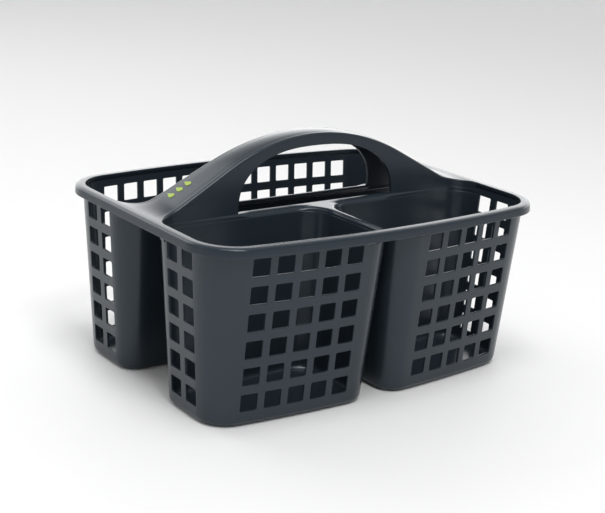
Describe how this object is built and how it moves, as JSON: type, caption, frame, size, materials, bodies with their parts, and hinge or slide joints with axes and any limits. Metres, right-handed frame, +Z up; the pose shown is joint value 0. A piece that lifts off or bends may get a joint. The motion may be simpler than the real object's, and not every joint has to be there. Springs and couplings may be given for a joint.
{
  "type": "shower caddy",
  "caption": "Open plastic shower caddy with grille-sided cups, a rolled rim and a fixed arched carrying handle over a gap between the cups.",
  "frame": {"origin": "centre of the base, on the surface that the caddy stands on", "axes": "+X along the long side, the way the handle runs; +Y from the two front cups to the rear cup; +Z up"},
  "size_m": [0.2966, 0.2274, 0.175],
  "materials": {
    "moulding": "satin",
    "print": "satin"
  },
  "bodies": {
    "root": {"front_deck": "moulding", "front_left_cup_end_grille": "moulding", "front_left_cup_floor": "moulding", "front_left_cup_front_grille": "moulding", "front_left_cup_inner_wall": "moulding", "front_left_cup_outer_corner": "moulding", "front_right_cup_end_grille": "moulding", "front_right_cup_floor": "moulding", "front_right_cup_front_grille": "moulding", "front_right_cup_inner_wall": "moulding", "front_right_cup_outer_corner": "moulding", "handle_band": "moulding", "handle_front_web": "moulding", "handle_left_root": "moulding", "handle_rear_web": "moulding", "handle_right_root": "moulding", "printed_mark": "print", "rear_cup_floor": "moulding", "rear_cup_inner_wall": "moulding", "rear_cup_left_end_grille": "moulding", "rear_cup_left_outer_corner": "moulding", "rear_cup_rear_grille": "moulding", "rear_cup_right_end_grille": "moulding", "rear_cup_right_outer_corner": "moulding", "rear_ledge": "moulding", "rim_front_rail": "moulding", "rim_left_end": "moulding", "rim_rear_rail": "moulding", "rim_right_end": "moulding"}
  },
  "joints": []
}
